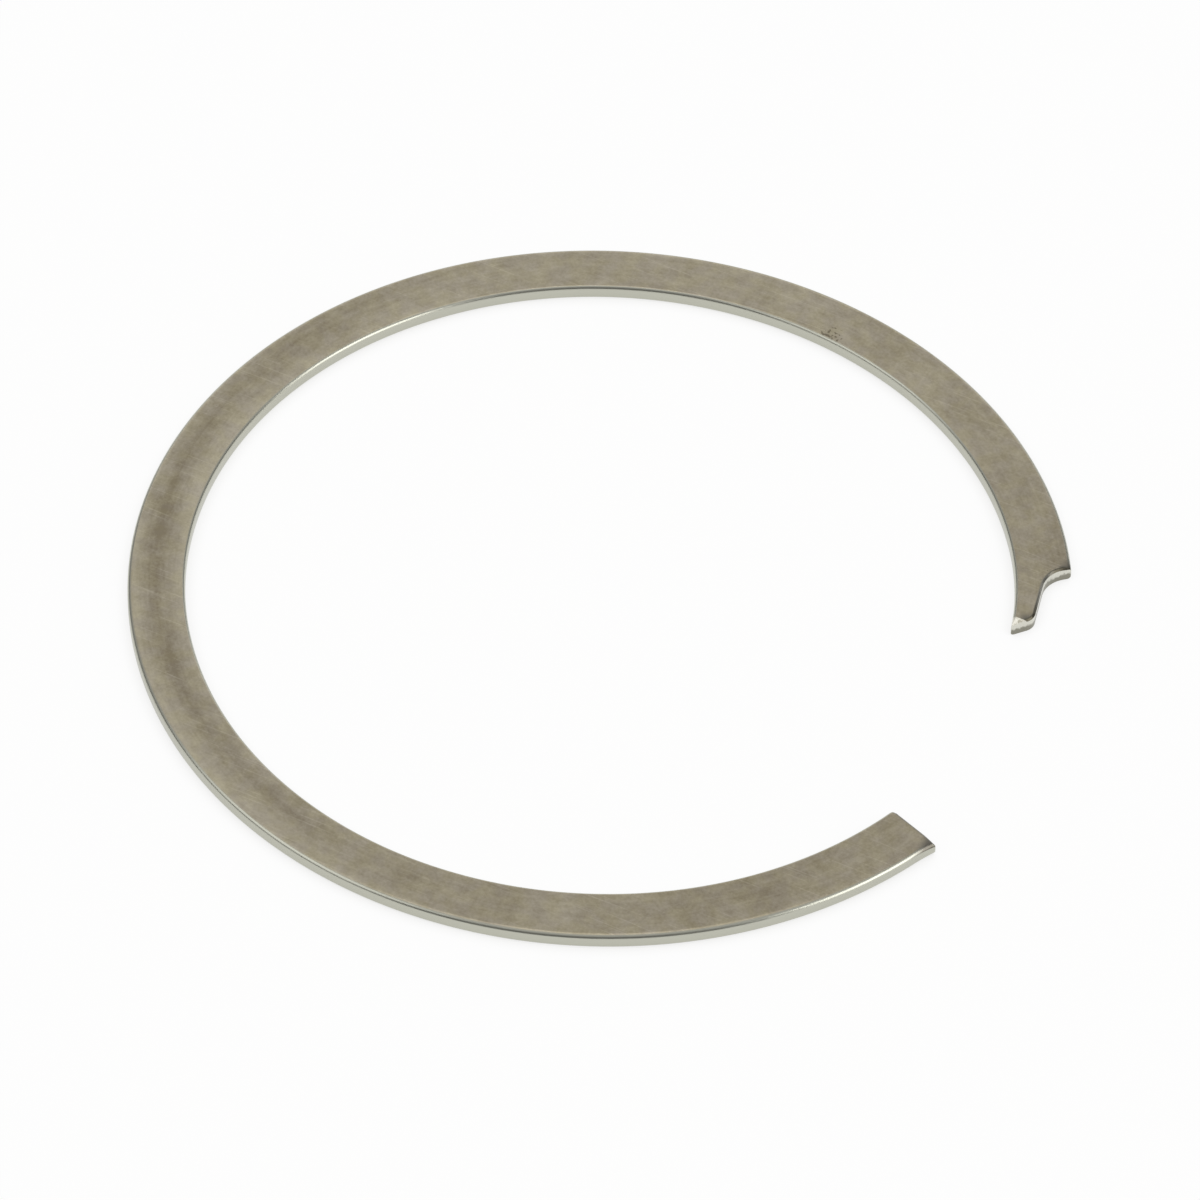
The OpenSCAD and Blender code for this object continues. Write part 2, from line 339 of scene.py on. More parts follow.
def wireSides(r):
    # The two sides of the wire seen from above, point by point, from the plain end to the tip
    outer = r["outerDiameter"] / 2
    inner = outer - r["wireWidth"]
    halfGap = r["gapAngle"] / 2
    shift = r["setIn"] / (1 - math.cos(math.radians(r["setAngle"])))
    setRadius = inner - shift
    swing = unit(r["setAngle"]) * setRadius
    setStart = halfGap + math.degrees(math.atan2(swing.y, shift + swing.x))
    cutAngle = 360 - halfGap

    steps = [0, 0.008, 0.02, 0.04, 0.065, 0.095, 0.13, 0.17, 0.215, 0.265, 0.32]
    runs = [s * mm for s in steps]
    while runs[-1] < 3.6 * mm:
        runs.append(runs[-1] + 0.1 * mm)
    corner = r["cornerRadius"]
    innerSide, outerSide = [], []
    for run in runs:
        away = unit(cutAngle - math.degrees(run / inner))
        left = max(corner - run, 0)
        rounding = corner - math.sqrt(max(corner * corner - left * left, 0))
        innerSide.append(away * (inner + rounding))
        pressed = max(1 - run / r["bulgeLength"], 0) ** 2
        outerSide.append(away * (outer + r["bulge"] * pressed))
    start = cutAngle - math.degrees(runs[-1] / inner)
    count = math.ceil((start - setStart) / 0.8)
    for i in range(1, count + 1):
        away = unit(start + (setStart - start) * i / count)
        innerSide.append(away * inner)
        outerSide.append(away * outer)

    # The tighter bend turns about its own centre, in a frame that ends with the tip on +X
    setCentre = unit(setStart) * shift
    tipAngle = setStart - r["setAngle"]
    notch, nose = notchOutline(r, setRadius)
    shoulderAngle = math.degrees(math.atan2(notch[0].x, notch[0].y + setRadius))
    count = math.ceil((r["setAngle"] - shoulderAngle) / 0.5)
    for i in range(1, count):
        away = unit(tipAngle + r["setAngle"] + (shoulderAngle - r["setAngle"]) * i / count)
        innerSide.append(setCentre + away * setRadius)
        outerSide.append(setCentre + away * (setRadius + r["wireWidth"]))
    notchFrom = len(outerSide)
    for p in notch:
        turn = math.degrees(math.atan2(p.x, p.y + setRadius))
        reach = Vector((p.x, p.y + setRadius)).length
        innerSide.append(setCentre + unit(tipAngle + turn) * setRadius)
        outerSide.append(setCentre + unit(tipAngle + turn) * reach)
    tip = setCentre + unit(tipAngle) * setRadius
    turn = math.degrees(math.atan2(nose.x, nose.y + setRadius))
    noseSpot = setCentre + unit(tipAngle + turn) * Vector((nose.x, nose.y + setRadius)).length
    return innerSide, outerSide, notchFrom, tip, tipAngle, noseSpot


def sidesCurve(innerSide, outerSide):
    curve = bpy.data.curves.new("wireSides", "CURVE")
    curve.dimensions = "3D"
    for side in (innerSide, outerSide):
        spline = curve.splines.new("POLY")
        spline.points.add(len(side) - 1)
        for point, place in zip(spline.points, side):
            point.co = (place.x, place.y, 0, 1)
    return bpy.data.objects.new("wireSides", curve)


def ringTree():
    # Spans a fine skin between the two sides of the wire, lets it fall off by its distance from
    # each edge, closes it downwards, and gives it the material
    tree = bpy.data.node_groups.new("ringFromSides", "GeometryNodeTree")
    tree.is_modifier = True
    sockets = [
        ("Sides", "NodeSocketGeometry"), ("Stations", "NodeSocketInt"), ("Points Across", "NodeSocketInt"),
        ("Notch From", "NodeSocketInt"), ("Thickness", "NodeSocketFloat"), ("Edge Radius", "NodeSocketFloat"),
        ("Inner Edge", "NodeSocketFloat"), ("Outer Edge", "NodeSocketFloat"), ("Edge Drop", "NodeSocketFloat"),
        ("Rim Width", "NodeSocketFloat"), ("Rim Drop", "NodeSocketFloat"), ("Tip", "NodeSocketVector"),
        ("Along Tip", "NodeSocketVector"), ("Out At Tip", "NodeSocketVector"), ("Bevel Length", "NodeSocketFloat"),
        ("Bevel Slope", "NodeSocketFloat"), ("Bevel Turn", "NodeSocketFloat"), ("Cut Corner", "NodeSocketVector"),
        ("Along Cut", "NodeSocketVector"), ("Out At Cut", "NodeSocketVector"), ("Drawn Length", "NodeSocketFloat"),
        ("Drawn Width", "NodeSocketFloat"), ("Drawn Drop", "NodeSocketFloat"), ("Nose", "NodeSocketVector"),
        ("Rim Shade Reach", "NodeSocketFloat"), ("Shoulder Roll", "NodeSocketFloat"), ("Nose Roll", "NodeSocketFloat"),
        ("Roll Drop", "NodeSocketFloat"), ("Deep Shade Reach", "NodeSocketFloat"), ("Material", "NodeSocketMaterial"),
    ]
    for name, kind in sockets:
        tree.interface.new_socket(name, in_out="INPUT", socket_type=kind)
    tree.interface.new_socket("Ring", in_out="OUTPUT", socket_type="NodeSocketGeometry")
    given = addNode(tree, "NodeGroupInput").outputs

    # Grid of stations along the wire and points across it
    grid = addNode(tree, "GeometryNodeMeshGrid", {},
                   {"Vertices X": given["Stations"], "Vertices Y": given["Points Across"]})
    index = addNode(tree, "GeometryNodeInputIndex").outputs[0]
    share = addNode(tree, "ShaderNodeMath", {"operation": "DIVIDE"}, {0: index, 1: given["Points Across"]})
    station = addNode(tree, "ShaderNodeMath", {"operation": "FLOOR"}, {0: share.outputs[0]})
    row = addNode(tree, "ShaderNodeMath", {"operation": "MODULO"}, {0: index, 1: given["Points Across"]})
    lastRow = addNode(tree, "ShaderNodeMath", {"operation": "SUBTRACT"}, {0: given["Points Across"], 1: 1})
    rowShare = addNode(tree, "ShaderNodeMath", {"operation": "DIVIDE"}, {0: row.outputs[0], 1: lastRow.outputs[0]})
    rowTurn = addNode(tree, "ShaderNodeMath", {"operation": "MULTIPLY"}, {0: rowShare.outputs[0], 1: math.pi})
    rowCos = addNode(tree, "ShaderNodeMath", {"operation": "COSINE"}, {0: rowTurn.outputs[0]})
    across = addNode(tree, "ShaderNodeMath", {"operation": "MULTIPLY_ADD"}, {0: rowCos.outputs[0], 1: -0.5, 2: 0.5})
    outerStation = addNode(tree, "ShaderNodeMath", {"operation": "ADD"},
                           {0: station.outputs[0], 1: given["Stations"]})
    position = addNode(tree, "GeometryNodeInputPosition").outputs[0]
    innerPoint = addNode(tree, "GeometryNodeSampleIndex", {"data_type": "FLOAT_VECTOR"},
                         {"Geometry": given["Sides"], "Value": position, "Index": station.outputs[0]})
    outerPoint = addNode(tree, "GeometryNodeSampleIndex", {"data_type": "FLOAT_VECTOR"},
                         {"Geometry": given["Sides"], "Value": position, "Index": outerStation.outputs[0]})
    between = addNode(tree, "ShaderNodeMix", {"data_type": "VECTOR"},
                      {0: across.outputs[0], 4: innerPoint.outputs[0], 5: outerPoint.outputs[0]})
    plan = addNode(tree, "GeometryNodeSetPosition", {},
                   {"Geometry": grid.outputs["Mesh"], "Position": between.outputs[1]})

    # Distance from the rolled edges, and from the edges that were sheared
    sides = addNode(tree, "GeometryNodeCurveToMesh", {}, {"Curve": given["Sides"]})
    shearedFrom = addNode(tree, "ShaderNodeMath", {"operation": "ADD"},
                          {0: given["Stations"], 1: given["Notch From"]})
    isSheared = addNode(tree, "FunctionNodeCompare", {"data_type": "FLOAT", "operation": "GREATER_EQUAL"},
                        {0: index, 1: shearedFrom.outputs[0]})
    isRolled = addNode(tree, "FunctionNodeCompare", {"data_type": "FLOAT", "operation": "LESS_EQUAL"},
                       {0: index, 1: shearedFrom.outputs[0]})
    notchEdge = addNode(tree, "GeometryNodeSeparateGeometry", {"domain": "POINT"},
                        {"Geometry": sides.outputs[0], "Selection": isSheared.outputs[0]})
    rolledEdge = addNode(tree, "GeometryNodeSeparateGeometry", {"domain": "POINT"},
                         {"Geometry": sides.outputs[0], "Selection": isRolled.outputs[0]})
    cutInner = addNode(tree, "GeometryNodeSampleIndex", {"data_type": "FLOAT_VECTOR"},
                       {"Geometry": given["Sides"], "Value": position, "Index": 0})
    cutOuter = addNode(tree, "GeometryNodeSampleIndex", {"data_type": "FLOAT_VECTOR"},
                       {"Geometry": given["Sides"], "Value": position, "Index": given["Stations"]})
    cutLine = addNode(tree, "GeometryNodeCurvePrimitiveLine", {},
                      {"Start": cutInner.outputs[0], "End": cutOuter.outputs[0]})
    cutEdge = addNode(tree, "GeometryNodeCurveToMesh", {}, {"Curve": cutLine.outputs[0]})
    sheared = addNode(tree, "GeometryNodeJoinGeometry")
    tree.links.new(notchEdge.outputs[0], sheared.inputs[0])
    tree.links.new(cutEdge.outputs[0], sheared.inputs[0])
    toRolled = addNode(tree, "GeometryNodeProximity", {"target_element": "EDGES"},
                       {0: rolledEdge.outputs[0], "Sample Position": position})
    toSheared = addNode(tree, "GeometryNodeProximity", {"target_element": "EDGES"},
                        {0: sheared.outputs[0], "Sample Position": position})

    # Quarter of an oval at the rolled edges, above and below
    upperWidth = addNode(tree, "ShaderNodeMix", {},
                         {0: across.outputs[0], 2: given["Inner Edge"], 3: given["Outer Edge"]}).outputs[0]
    falls = []
    for width, depth in ((upperWidth, given["Edge Drop"]), (given["Edge Radius"], given["Edge Radius"])):
        inward = addNode(tree, "ShaderNodeMath", {"operation": "DIVIDE"}, {0: toRolled.outputs["Distance"], 1: width})
        left = addNode(tree, "ShaderNodeMath", {"operation": "SUBTRACT", "use_clamp": True},
                       {0: 1, 1: inward.outputs[0]})
        square = addNode(tree, "ShaderNodeMath", {"operation": "POWER"}, {0: left.outputs[0], 1: 2})
        rest = addNode(tree, "ShaderNodeMath", {"operation": "SUBTRACT"}, {0: 1, 1: square.outputs[0]})
        root = addNode(tree, "ShaderNodeMath", {"operation": "SQRT"}, {0: rest.outputs[0]})
        share = addNode(tree, "ShaderNodeMath", {"operation": "SUBTRACT"}, {0: 1, 1: root.outputs[0]})
        fall = addNode(tree, "ShaderNodeMath", {"operation": "MULTIPLY"}, {0: share.outputs[0], 1: depth})
        falls.append(fall.outputs[0])
    upperRoll, lowerRoll = falls

    # Sloped rim of the sheared edges
    rimShare = addNode(tree, "ShaderNodeMath", {"operation": "DIVIDE"},
                       {0: toSheared.outputs["Distance"], 1: given["Rim Width"]})
    rimLeft = addNode(tree, "ShaderNodeMath", {"operation": "SUBTRACT"}, {0: 1, 1: rimShare.outputs[0]})
    rimInside = addNode(tree, "ShaderNodeMath", {"operation": "MAXIMUM"}, {0: rimLeft.outputs[0], 1: 0})
    rimFull = addNode(tree, "ShaderNodeMath", {"operation": "MULTIPLY"},
                      {0: rimInside.outputs[0], 1: given["Rim Drop"]})

    # Bevel on the tongue's tip
    fromTip = addNode(tree, "ShaderNodeVectorMath", {"operation": "SUBTRACT"}, {0: position, 1: given["Tip"]})
    tipAlong = addNode(tree, "ShaderNodeVectorMath", {"operation": "DOT_PRODUCT"},
                       {0: fromTip.outputs[0], 1: given["Along Tip"]})
    tipOut = addNode(tree, "ShaderNodeVectorMath", {"operation": "DOT_PRODUCT"},
                     {0: fromTip.outputs[0], 1: given["Out At Tip"]})
    bevelLeft = addNode(tree, "ShaderNodeMath", {"operation": "SUBTRACT"},
                        {0: given["Bevel Length"], 1: tipAlong.outputs["Value"]})
    turnCos = addNode(tree, "ShaderNodeMath", {"operation": "COSINE"}, {0: given["Bevel Turn"]})
    turnSin = addNode(tree, "ShaderNodeMath", {"operation": "SINE"}, {0: given["Bevel Turn"]})
    bevelA = addNode(tree, "ShaderNodeMath", {"operation": "MULTIPLY"}, {0: bevelLeft.outputs[0], 1: turnCos.outputs[0]})
    bevelB = addNode(tree, "ShaderNodeMath", {"operation": "MULTIPLY"}, {0: tipOut.outputs["Value"], 1: turnSin.outputs[0]})
    bevelRun = addNode(tree, "ShaderNodeMath", {"operation": "SUBTRACT"}, {0: bevelA.outputs[0], 1: bevelB.outputs[0]})
    bevelPlane = addNode(tree, "ShaderNodeMath", {"operation": "MULTIPLY"}, {0: bevelRun.outputs[0], 1: given["Bevel Slope"]})
    # The plane rises again across the ring, so the bevel ends a little way from the tip
    tipDistance = addNode(tree, "ShaderNodeVectorMath", {"operation": "LENGTH"}, {0: fromTip.outputs[0]})
    bevelReach = addNode(tree, "ShaderNodeMath", {"operation": "SUBTRACT"},
                         {0: 3 * mm, 1: tipDistance.outputs["Value"]})
    bevelRaw = addNode(tree, "ShaderNodeMath", {"operation": "MINIMUM"},
                       {0: bevelPlane.outputs[0], 1: bevelReach.outputs[0]})
    onBevel = addNode(tree, "ShaderNodeMapRange", {},
                      {"Value": bevelRaw.outputs[0], "From Min": 0, "From Max": 0.008 * mm})
    offBevel = addNode(tree, "ShaderNodeMath", {"operation": "SUBTRACT"}, {0: 1, 1: onBevel.outputs[0]})
    rimDrop = addNode(tree, "ShaderNodeMath", {"operation": "MULTIPLY"},
                      {0: rimFull.outputs[0], 1: offBevel.outputs[0]})

    # Outer corner of the plain end, drawn down by the shear
    fromCut = addNode(tree, "ShaderNodeVectorMath", {"operation": "SUBTRACT"}, {0: position, 1: given["Cut Corner"]})
    cutAlong = addNode(tree, "ShaderNodeVectorMath", {"operation": "DOT_PRODUCT"},
                       {0: fromCut.outputs[0], 1: given["Along Cut"]})
    cutOut = addNode(tree, "ShaderNodeVectorMath", {"operation": "DOT_PRODUCT"},
                     {0: fromCut.outputs[0], 1: given["Out At Cut"]})
    drawnAlong = addNode(tree, "ShaderNodeMath", {"operation": "DIVIDE"},
                         {0: cutAlong.outputs["Value"], 1: given["Drawn Length"]})
    drawnOut = addNode(tree, "ShaderNodeMath", {"operation": "DIVIDE"},
                       {0: cutOut.outputs["Value"], 1: given["Drawn Width"]})
    drawnSum = addNode(tree, "ShaderNodeMath", {"operation": "SUBTRACT"}, {0: drawnOut.outputs[0], 1: drawnAlong.outputs[0]})
    drawnShare = addNode(tree, "ShaderNodeMath", {"operation": "ADD", "use_clamp": True},
                         {0: drawnSum.outputs[0], 1: 1})
    drawnSoft = addNode(tree, "ShaderNodeMath", {"operation": "POWER"}, {0: drawnShare.outputs[0], 1: 1.6})
    drawn = addNode(tree, "ShaderNodeMath", {"operation": "MULTIPLY"}, {0: drawnSoft.outputs[0], 1: given["Drawn Drop"]})

    # Painted shade on the corners that the shear dragged down and along the sheared rims, deeper beside those corners
    shoulderSpot = addNode(tree, "GeometryNodeSampleIndex", {"data_type": "FLOAT_VECTOR"},
                           {"Geometry": given["Sides"], "Value": position, "Index": shearedFrom.outputs[0]})
    rimShadeFar = addNode(tree, "ShaderNodeMath", {"operation": "ADD"}, {0: given["Rim Width"], 1: given["Rim Shade Reach"]})
    # Painted shade along the sloped rims of the sheared edges
    rimShade = addNode(tree, "ShaderNodeMapRange", {"interpolation_type": "SMOOTHSTEP"},
                  {"Value": toSheared.outputs["Distance"], "From Min": rimShadeFar.outputs[0],
                   "From Max": given["Rim Width"]}).outputs[0]
    rolled = drawn.outputs[0]
    deepShade = None
    # Painted shade on the drawn corner of the plain end and on the dragged corners
    cornerShade = addNode(tree, "ShaderNodeMath", {"operation": "MULTIPLY", "use_clamp": True},
                      {0: drawnShare.outputs[0], 1: 1.8}).outputs[0]
    for spot, reach in ((shoulderSpot.outputs[0], given["Shoulder Roll"]), (given["Nose"], given["Nose Roll"])):
        away = addNode(tree, "ShaderNodeVectorMath", {"operation": "DISTANCE"}, {0: position, 1: spot})
        nearBy = addNode(tree, "ShaderNodeMapRange", {"interpolation_type": "SMOOTHSTEP"},
                         {"Value": away.outputs["Value"], "From Min": reach, "From Max": 0.1 * mm})
        rolled = addNode(tree, "ShaderNodeMath", {"operation": "MULTIPLY_ADD"},
                         {0: nearBy.outputs[0], 1: given["Roll Drop"], 2: rolled}).outputs[0]
        cornerShade = addNode(tree, "ShaderNodeMath", {"operation": "MAXIMUM"},
                          {0: cornerShade, 1: nearBy.outputs[0]}).outputs[0]
        # Deeper painted shade on the rims near these corners
        deepShadeNear = addNode(tree, "ShaderNodeMapRange", {"interpolation_type": "SMOOTHSTEP"},
                        {"Value": away.outputs["Value"], "From Min": given["Deep Shade Reach"], "From Max": 1 * mm}).outputs[0]
        if deepShade:
            deepShade = addNode(tree, "ShaderNodeMath", {"operation": "MAXIMUM"}, {0: deepShade, 1: deepShadeNear}).outputs[0]
        else:
            deepShade = deepShadeNear
    cornerShadeClear = addNode(tree, "ShaderNodeMath", {"operation": "MULTIPLY"}, {0: cornerShade, 1: offBevel.outputs[0]})
    rimShadeClear = addNode(tree, "ShaderNodeMath", {"operation": "MULTIPLY"}, {0: rimShade, 1: offBevel.outputs[0]})
    deepShadeOnRim = addNode(tree, "ShaderNodeMath", {"operation": "MULTIPLY"}, {0: rimShadeClear.outputs[0], 1: deepShade})
    # Deeper painted shade at the plain end's drawn corner too
    deepShadeAtCut = addNode(tree, "ShaderNodeMapRange", {"interpolation_type": "SMOOTHSTEP"},
                        {"Value": drawnShare.outputs[0], "From Min": 0.55, "From Max": 1.3})
    deepShadeClear = addNode(tree, "ShaderNodeMath", {"operation": "MAXIMUM"},
                        {0: deepShadeOnRim.outputs[0], 1: deepShadeAtCut.outputs[0]})
    onCut = addNode(tree, "FunctionNodeCompare", {"data_type": "FLOAT", "operation": "LESS_THAN"},
                    {0: toSheared.outputs["Distance"], 1: 0.003 * mm})

    # The deepest of these falls is the surface, with softly joined creases
    soft = 0.008 * mm
    drop = upperRoll
    for other in (rimDrop, bevelRaw):
        drop = addNode(tree, "ShaderNodeMath", {"operation": "SMOOTH_MAX"},
                       {0: drop, 1: other.outputs[0], 2: soft}).outputs[0]
    dropAll = addNode(tree, "ShaderNodeMath", {"operation": "ADD"}, {0: drop, 1: rolled})
    upper = addNode(tree, "ShaderNodeMath", {"operation": "SUBTRACT"}, {0: given["Thickness"], 1: dropAll.outputs[0]})
    upperHeld = addNode(tree, "ShaderNodeMath", {"operation": "MINIMUM"}, {0: upper.outputs[0], 1: given["Thickness"]})
    kept = addNode(tree, "GeometryNodeCaptureAttribute", {"domain": "POINT"}, {"Geometry": plan.outputs[0]})
    kept.capture_items.new("FLOAT", "Upper")
    kept.capture_items.new("FLOAT", "Lower")
    kept.capture_items.new("FLOAT", "Lip")
    kept.capture_items.new("FLOAT", "Dragged")
    kept.capture_items.new("FLOAT", "Soot")
    kept.capture_items.new("FLOAT", "Bevel")
    kept.capture_items.new("FLOAT", "Cut")
    tree.links.new(upperHeld.outputs[0], kept.inputs["Upper"])
    tree.links.new(lowerRoll, kept.inputs["Lower"])
    tree.links.new(rimShadeClear.outputs[0], kept.inputs["Lip"])
    tree.links.new(cornerShadeClear.outputs[0], kept.inputs["Dragged"])
    tree.links.new(deepShadeClear.outputs[0], kept.inputs["Soot"])
    tree.links.new(onBevel.outputs[0], kept.inputs["Bevel"])
    tree.links.new(onCut.outputs[0], kept.inputs["Cut"])
    spot = addNode(tree, "ShaderNodeSeparateXYZ", {}, {0: position})
    upperSpot = addNode(tree, "ShaderNodeCombineXYZ", {},
                        {0: spot.outputs[0], 1: spot.outputs[1], 2: kept.outputs["Upper"]})
    lowerSpot = addNode(tree, "ShaderNodeCombineXYZ", {},
                        {0: spot.outputs[0], 1: spot.outputs[1], 2: kept.outputs["Lower"]})
    top = addNode(tree, "GeometryNodeSetPosition", {},
                  {"Geometry": kept.outputs["Geometry"], "Position": upperSpot.outputs[0]})
    bottom = addNode(tree, "GeometryNodeSetPosition", {},
                     {"Geometry": kept.outputs["Geometry"], "Position": lowerSpot.outputs[0]})
    bottomTurned = addNode(tree, "GeometryNodeFlipFaces", {}, {0: bottom.outputs[0]})
    neighbours = addNode(tree, "GeometryNodeInputMeshEdgeNeighbors").outputs[0]
    isBorder = addNode(tree, "FunctionNodeCompare", {"data_type": "INT", "operation": "EQUAL"},
                       {2: neighbours, 3: 1})
    wall = addNode(tree, "GeometryNodeExtrudeMesh", {"mode": "EDGES"},
                   {"Mesh": top.outputs[0], "Selection": isBorder.outputs[0], "Offset": (0, 0, 0), "Offset Scale": 0})
    wallDown = addNode(tree, "GeometryNodeSetPosition", {},
                       {"Geometry": wall.outputs["Mesh"], "Selection": wall.outputs["Top"],
                        "Position": lowerSpot.outputs[0]})
    whole = addNode(tree, "GeometryNodeJoinGeometry")
    tree.links.new(wallDown.outputs[0], whole.inputs[0])
    tree.links.new(bottomTurned.outputs[0], whole.inputs[0])
    merged = addNode(tree, "GeometryNodeMergeByDistance", {}, {"Geometry": whole.outputs[0], "Distance": 0.0002 * mm})
    named = merged.outputs[0]
    for name, item in (("paintedRimShade", "Lip"), ("paintedCornerShade", "Dragged"), ("paintedDeepShade", "Soot"),
                       ("tipBevel", "Bevel"), ("cutFace", "Cut")):
        named = addNode(tree, "GeometryNodeStoreNamedAttribute", {"data_type": "FLOAT", "domain": "POINT"},
                        {"Geometry": named, "Name": name, "Value": kept.outputs[item]}).outputs[0]
    bend = addNode(tree, "GeometryNodeInputMeshEdgeAngle").outputs["Unsigned Angle"]
    isSharp = addNode(tree, "FunctionNodeCompare", {"data_type": "FLOAT", "operation": "GREATER_THAN"},
                      {0: bend, 1: math.radians(28)})
    isSoft = addNode(tree, "FunctionNodeBooleanMath", {"operation": "NOT"}, {0: isSharp.outputs[0]})
    smooth = addNode(tree, "GeometryNodeSetShadeSmooth", {"domain": "FACE"},
                     {"Geometry": named, "Shade Smooth": True})
    creased = addNode(tree, "GeometryNodeSetShadeSmooth", {"domain": "EDGE"},
                      {"Geometry": smooth.outputs[0], "Shade Smooth": isSoft.outputs[0]})
    real = addNode(tree, "GeometryNodeRealizeInstances", {}, {"Geometry": creased.outputs[0]})
    painted = addNode(tree, "GeometryNodeSetMaterial", {},
                      {"Geometry": real.outputs[0], "Material": given["Material"]})
    addNode(tree, "NodeGroupOutput", {}, {"Ring": painted.outputs[0]})
    return tree


def makeRing(r, material):
    innerSide, outerSide, notchFrom, tip, tipAngle, nose = wireSides(r)
    guide = sidesCurve(innerSide, outerSide)
    bpy.context.scene.collection.objects.link(guide)
    tree = ringTree()
    modifier = guide.modifiers.new("ringFromSides", "NODES")
    modifier.node_group = tree
    outer = r["outerDiameter"] / 2
    cutAngle = 360 - r["gapAngle"] / 2
    values = {
        "Stations": len(innerSide), "Points Across": r["pointsAcross"], "Notch From": notchFrom,
        "Thickness": r["thickness"], "Edge Radius": r["edgeRadius"],
        "Inner Edge": r["innerEdge"], "Outer Edge": r["outerEdge"], "Edge Drop": r["edgeDrop"],
        "Rim Width": r["rimWidth"], "Rim Drop": r["rimDrop"],
        "Tip": tip.to_3d(), "Along Tip": unit(tipAngle + 90).to_3d(), "Out At Tip": unit(tipAngle).to_3d(),
        "Bevel Length": r["bevelLength"], "Bevel Slope": r["bevelDrop"] / r["bevelLength"],
        "Bevel Turn": math.radians(r["bevelTurn"]),
        "Cut Corner": (unit(cutAngle) * outer).to_3d(), "Along Cut": unit(cutAngle - 90).to_3d(),
        "Out At Cut": unit(cutAngle).to_3d(),
        "Drawn Length": r["drawnLength"], "Drawn Width": r["drawnWidth"], "Drawn Drop": r["drawnDrop"],
        "Nose": nose.to_3d(), "Rim Shade Reach": r["rimShadeReach"], "Shoulder Roll": r["shoulderRoll"],
        "Nose Roll": r["noseRoll"], "Roll Drop": r["rollDrop"], "Deep Shade Reach": r["deepShadeReach"],
        "Material": material,
    }
    for item in tree.interface.items_tree:
        if item.in_out == "INPUT" and item.name in values:
            modifier[item.identifier] = values[item.name]
    bpy.context.view_layer.update()
    graph = bpy.context.evaluated_depsgraph_get()
    mesh = bpy.data.meshes.new_from_object(guide.evaluated_get(graph), preserve_all_data_layers=True, depsgraph=graph)
    mesh.name = "retainingRing"
    body = bmesh.new()
    body.from_mesh(mesh)
    bmesh.ops.recalc_face_normals(body, faces=body.faces)
    openEdges = [e for e in body.edges if not e.is_manifold]
    body.to_mesh(mesh)
    print("ring:", len(body.verts), "points,", len(body.faces), "faces,", len(openEdges), "open edges")
    body.free()
    piece = bpy.data.objects.new("retainingRing", mesh)
    bpy.context.scene.collection.objects.link(piece)
    bpy.data.objects.remove(guide, do_unlink=True)
    return piece


spring = makeSpringSteel(steel, ring)
piece = makeRing(ring, spring)
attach(piece, "root")
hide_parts("retaining_ring")
print("ring made")

stage = {
    "floorColour": "#FBFAF7",
    "floorSize": 3.0,
    "ownLight": 0.95,       # share of the floor that shows as plain white to the camera
    "contactLight": 0.7,    # the same beside the ring, where its shadow shows
    "contactReach": 1.2 * mm,
}


def makeFloor(s):
    mesh = bpy.data.meshes.new("floor")
    h = s["floorSize"] / 2
    z = -0.01 * mm
    mesh.from_pydata([(-h, -h, z), (h, -h, z), (h, h, z), (-h, h, z)], [], [(0, 1, 2, 3)])
    material = bpy.data.materials.new("whitePaperSweep")
    material.use_nodes = True
    tree = material.node_tree
    tree.nodes.clear()
    # Matt white paper. Camera and reflections see part of it as plain white, the rest keeps
    # the shadow.
    paper = addNode(tree, "ShaderNodeBsdfDiffuse", {}, {"Color": linear(s["floorColour"])})
    white = addNode(tree, "ShaderNodeEmission", {}, {"Color": (1, 1, 1, 1), "Strength": 1})
    path = addNode(tree, "ShaderNodeLightPath").outputs
    seen = addNode(tree, "ShaderNodeMath", {"operation": "ADD"},
                   {0: path["Is Camera Ray"], 1: path["Is Glossy Ray"]})
    seenAll = addNode(tree, "ShaderNodeMath", {"operation": "ADD", "use_clamp": True},
                      {0: seen.outputs[0], 1: path["Is Transmission Ray"]})
    openSky = addNode(tree, "ShaderNodeAmbientOcclusion", {"samples": 8}, {"Distance": s["contactReach"]})
    share = addNode(tree, "ShaderNodeMapRange", {},
                    {"Value": openSky.outputs["AO"], "From Min": 0.3, "From Max": 0.9,
                     "To Min": s["contactLight"], "To Max": s["ownLight"]})
    part = addNode(tree, "ShaderNodeMath", {"operation": "MULTIPLY"}, {0: seenAll.outputs[0], 1: share.outputs[0]})
    mixed = addNode(tree, "ShaderNodeMixShader", {}, {0: part.outputs[0], 1: paper.outputs[0], 2: white.outputs[0]})
    addNode(tree, "ShaderNodeOutputMaterial", {}, {"Surface": mixed.outputs[0]})
    mesh.materials.append(material)
    floor = bpy.data.objects.new("floor", mesh)
    bpy.context.scene.collection.objects.link(floor)
    return floor


lamps = {
    # name: azimuth, elevation, distance, width, height, brightness where white is 1
    "overheadBox": (116, 80, 0.8, 0.3, 0.24, 0.86),
    "rightBox": (0, 12, 0.8, 0.54, 0.85, 2.5),
    "leftBox": (226, 37, 0.8, 0.66, 0.58, 0.9),
    "backdrop": (116, 18, 0.8, 1.0, 0.5, 0.56),
}


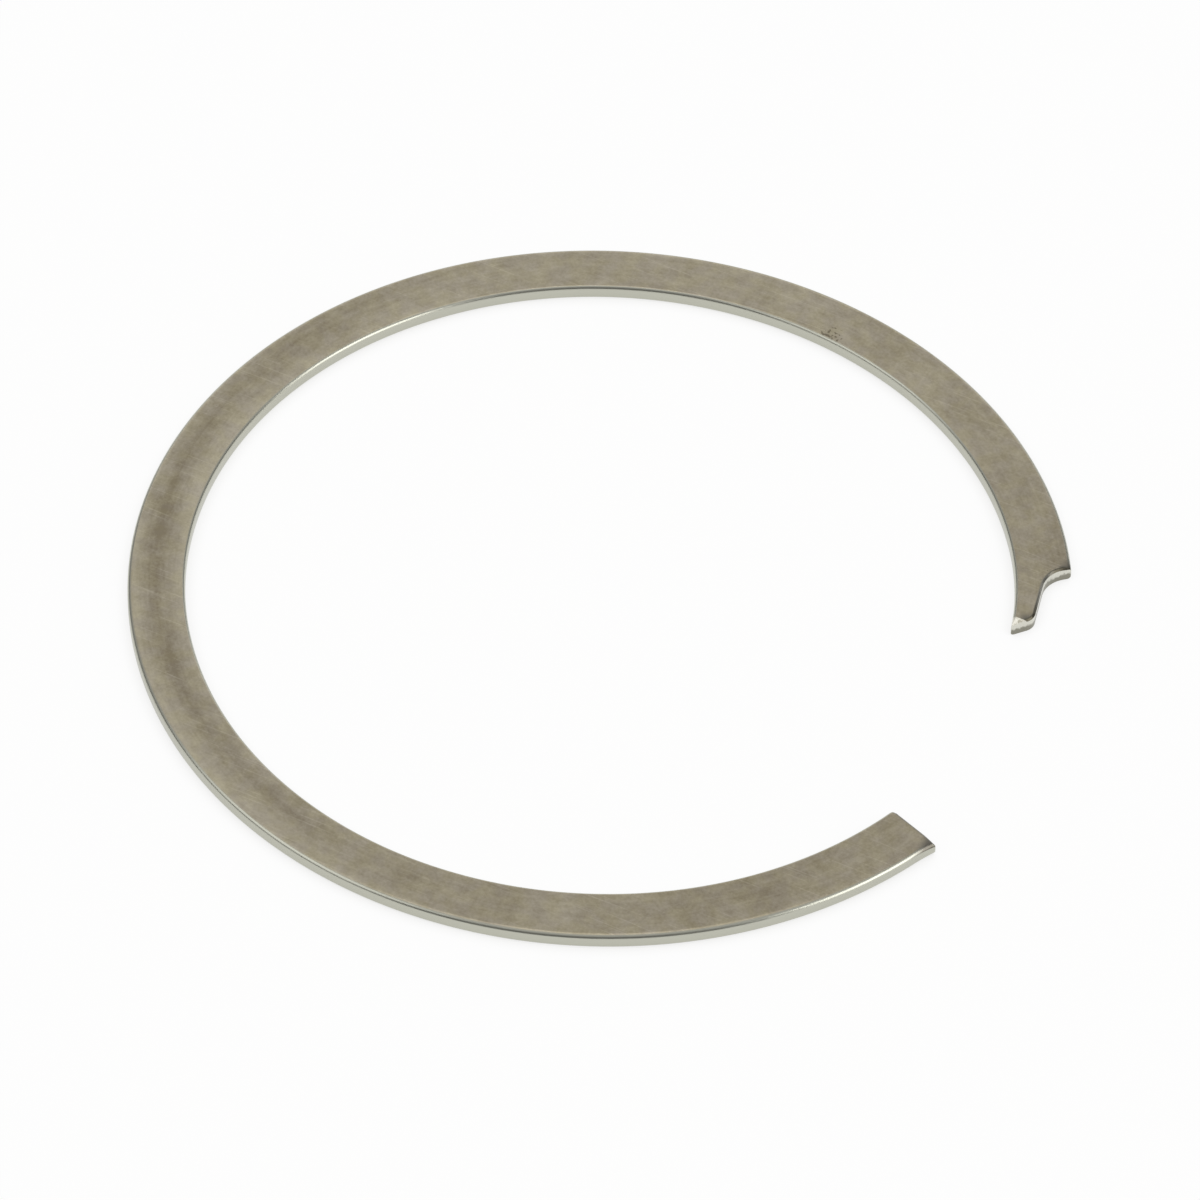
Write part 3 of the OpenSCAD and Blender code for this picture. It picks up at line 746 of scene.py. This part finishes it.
def makeLamps(settings):
    for name, (azimuth, elevation, distance, width, height, brightness) in settings.items():
        light = bpy.data.lights.new(name, "AREA")
        light.shape = "RECTANGLE"
        light.size = width
        light.size_y = height
        light.energy = brightness * math.pi * width * height
        lamp = bpy.data.objects.new(name, light)
        level = unit(azimuth).to_3d() * math.cos(math.radians(elevation))
        lamp.location = (level + Vector((0, 0, math.sin(math.radians(elevation))))) * distance
        lamp.rotation_euler = (-lamp.location).to_track_quat("-Z", "Y").to_euler()
        bpy.context.scene.collection.objects.link(lamp)


room = {
    "low": "#6A6A6A",           # walls near the table, and the room behind the camera
    "high": "#E2E2E2",          # ceiling and the far wall
    "brightSide": 116,          # azimuth of the far wall
    "lean": 0.25,               # how much brighter that side is
}


def makeRoom(r):
    background = bpy.data.worlds.new("studioRoom")
    background.use_nodes = True
    tree = background.node_tree
    shade = tree.nodes["Background"]
    # A plain room that gets lighter upwards and towards its far side
    view = addNode(tree, "ShaderNodeTexCoord").outputs["Generated"]
    up = unit(r["brightSide"]).to_3d() * r["lean"] + Vector((0, 0, 1))
    height = addNode(tree, "ShaderNodeVectorMath", {"operation": "DOT_PRODUCT"}, {0: view, 1: up})
    share = addNode(tree, "ShaderNodeMapRange", {}, {"Value": height.outputs["Value"], "From Min": 0.3, "From Max": 1.0})
    tone = addNode(tree, "ShaderNodeMix", {"data_type": "RGBA"},
                   {"Factor": share.outputs[0], 6: linear(r["low"]), 7: linear(r["high"])})
    tree.links.new(tone.outputs[2], shade.inputs["Color"])
    bpy.context.scene.world = background


cameraView = {
    "lens": 240,
    "sensor": 36,
    "place": (0.16552468, -0.33944669, 0.40049711),
    "turn": (43.23382, -1.14891, 27.22176),
}


def makeCamera(c):
    data = bpy.data.cameras.new("photoView")
    data.lens = c["lens"]
    data.sensor_width = c["sensor"]
    data.clip_start = 0.01
    data.clip_end = 20
    camera = bpy.data.objects.new("photoView", data)
    camera.location = c["place"]
    camera.rotation_euler = [math.radians(a) for a in c["turn"]]
    bpy.context.scene.collection.objects.link(camera)
    bpy.context.scene.camera = camera


makeFloor(stage)
makeLamps(lamps)
makeRoom(room)
makeCamera(cameraView)
bpy.context.scene.view_settings.view_transform = "Standard"
print("stage made")
